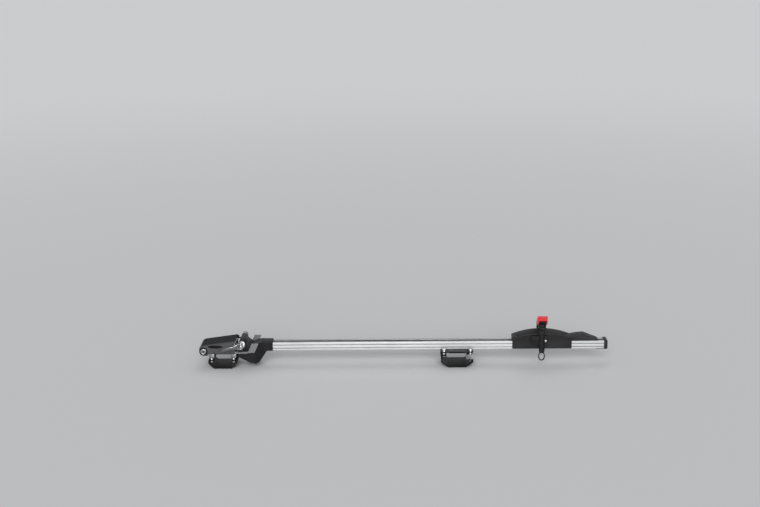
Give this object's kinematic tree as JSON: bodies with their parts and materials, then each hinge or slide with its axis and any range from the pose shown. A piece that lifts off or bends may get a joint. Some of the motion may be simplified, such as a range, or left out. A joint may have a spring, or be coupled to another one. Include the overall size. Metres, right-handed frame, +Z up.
{
  "type": "fork mount bike carrier",
  "caption": "Roof bike carrier: a rail on clamping feet, a fork head with cam skewer under a locking cover, and a sliding wheel tray with ratchet strap.",
  "frame": {"origin": "middle of the front foot's rubber seat, on the front bar's top face", "axes": "+X along the rail from the fork head to the wheel tray, +Y to the far side (thumb nut), +Z up"},
  "size_m": [1.402, 0.1497, 0.182],
  "materials": {
    "satin_aluminium": "satin anodised extrusion with fine lines along its length",
    "cast_head": "dark powder coat over a casting",
    "guide_metal": "grey satin paint over a casting",
    "bright_steel": "bright turned steel",
    "zinc_steel": "zinc plated steel",
    "chrome": "polished chrome",
    "dark_chrome": "smoked chrome over forged steel",
    "black_metal": "black powder coat",
    "graphite_plastic": "graphite grey moulded plastic, satin",
    "block_metal": "tumbled die-cast metal",
    "black_plastic": "black moulded plastic with a fine grain",
    "buckle_plastic": "black glass-filled plastic",
    "strap_rubber": "flexible black strap, satin",
    "black_rubber": "matt black rubber",
    "red_plastic": "glossy red moulded plastic"
  },
  "bodies": {
    "carrier": {"rail": "satin_aluminium", "rail_end_cap": "black_plastic", "head_casting": "cast_head", "fork_guide_near": "guide_metal", "fork_guide_far": "guide_metal", "dropout_washer_near": "bright_steel", "dropout_washer_far": "bright_steel", "axle_sleeve": "bright_steel", "base_screws": "zinc_steel", "neck_nut_plate": "zinc_steel", "neck_screws": "zinc_steel", "front_base": "zinc_steel", "front_pad": "black_rubber", "front_clamp_blocks": "block_metal", "front_nuts": "zinc_steel", "cover_hinge_pin": "bright_steel", "lock_striker": "zinc_steel"},
    "skewer": {"skewer_rod": "bright_steel", "cam_saddle": "bright_steel", "lever_pin": "bright_steel"},
    "lever": {"skewer_lever": "dark_chrome"},
    "thumb_nut": {"skewer_nut": "dark_chrome"},
    "cover": {"head_cover": "graphite_plastic", "lock_housing": "black_metal"},
    "lock_core": {"lock_cylinder": "chrome", "lock_tongue": "zinc_steel"},
    "front_clamp": {"front_jaw": "black_metal", "front_bolts": "zinc_steel"},
    "rear_foot": {"rear_plate": "black_metal", "rear_pad": "black_rubber", "rear_slider": "zinc_steel", "slider_screws": "zinc_steel", "rear_nuts": "chrome"},
    "rear_clamp": {"rear_jaw": "black_metal", "rear_clamp_blocks": "block_metal", "rear_bolts": "zinc_steel"},
    "tray": {"wheel_tray": "black_plastic", "tray_slide_plates": "zinc_steel", "tray_screws": "zinc_steel", "strap_anchor_near": "buckle_plastic", "strap_anchor_far": "buckle_plastic", "anchor_pin_near": "bright_steel", "anchor_pin_far": "bright_steel", "anchor_screw_near": "zinc_steel", "anchor_screw_far": "zinc_steel", "ladder_strap": "strap_rubber", "buckle_strap": "strap_rubber", "buckle_body": "buckle_plastic", "buckle_rivets": "bright_steel", "ratchet_pin": "bright_steel", "pawl_pin": "bright_steel"},
    "buckle_lever": {"ratchet_lever": "red_plastic"},
    "ratchet_pawl": {"drive_pawl": "black_metal"},
    "hold_pawl": {"holding_pawl": "buckle_plastic"}
  },
  "joints": [
    {"name": "lever_turn", "type": "hinge", "parent": "skewer", "child": "lever", "pos_m": [0.068, -0.068, 0.037], "axis": [0, 0, 1], "range_deg": [0, 175]},
    {"name": "skewer_slide", "type": "slide", "parent": "carrier", "child": "skewer", "axis": [0, -1, 0], "range_m": [0, 0.002]},
    {"name": "nut_spin", "type": "hinge", "parent": "skewer", "child": "thumb_nut", "pos_m": [0.068, 0.0635, 0.037], "axis": [0, 1, 0], "continuous": true},
    {"name": "cover_lift", "type": "hinge", "parent": "carrier", "child": "cover", "pos_m": [0.043, 0, 0.036], "axis": [0, 1, 0], "range_deg": [0, 75]},
    {"name": "lock_turn", "type": "hinge", "parent": "cover", "child": "lock_core", "pos_m": [-0.064, -0.04, 0.013], "axis": [0, -1, 0], "range_deg": [0, 90]},
    {"name": "front_clamp_travel", "type": "slide", "parent": "carrier", "child": "front_clamp", "axis": [0, 0, 1], "range_m": [0, 0.006]},
    {"name": "rear_foot_slide", "type": "slide", "parent": "carrier", "child": "rear_foot", "axis": [1, 0, 0], "range_m": [-0.25, 0.03]},
    {"name": "rear_clamp_travel", "type": "slide", "parent": "rear_foot", "child": "rear_clamp", "axis": [0, 0, 1], "range_m": [0, 0.006]},
    {"name": "tray_slide", "type": "slide", "parent": "carrier", "child": "tray", "axis": [1, 0, 0], "range_m": [-0.08, 0.01]},
    {"name": "buckle_lever_lift", "type": "hinge", "parent": "tray", "child": "buckle_lever", "pos_m": [1.093, -0.041, 0.108], "axis": [1, 0, 0], "range_deg": [0, 80], "stiffness_Nm_per_rad": 0.05, "springref_deg": -17.19},
    {"name": "drive_pawl_swing", "type": "hinge", "parent": "buckle_lever", "child": "ratchet_pawl", "pos_m": [1.093, -0.041, 0.108], "axis": [1, 0, 0], "range_deg": [0, 12], "stiffness_Nm_per_rad": 0.02, "springref_deg": -11.46},
    {"name": "hold_pawl_swing", "type": "hinge", "parent": "tray", "child": "hold_pawl", "pos_m": [1.093, -0.041, 0.091], "axis": [1, 0, 0], "range_deg": [0, 20], "stiffness_Nm_per_rad": 0.02, "springref_deg": -11.46}
  ],
  "couplings": [
    {"joint": "skewer_slide", "follows": "lever_turn", "m_per_rad": 0.00065481}
  ]
}
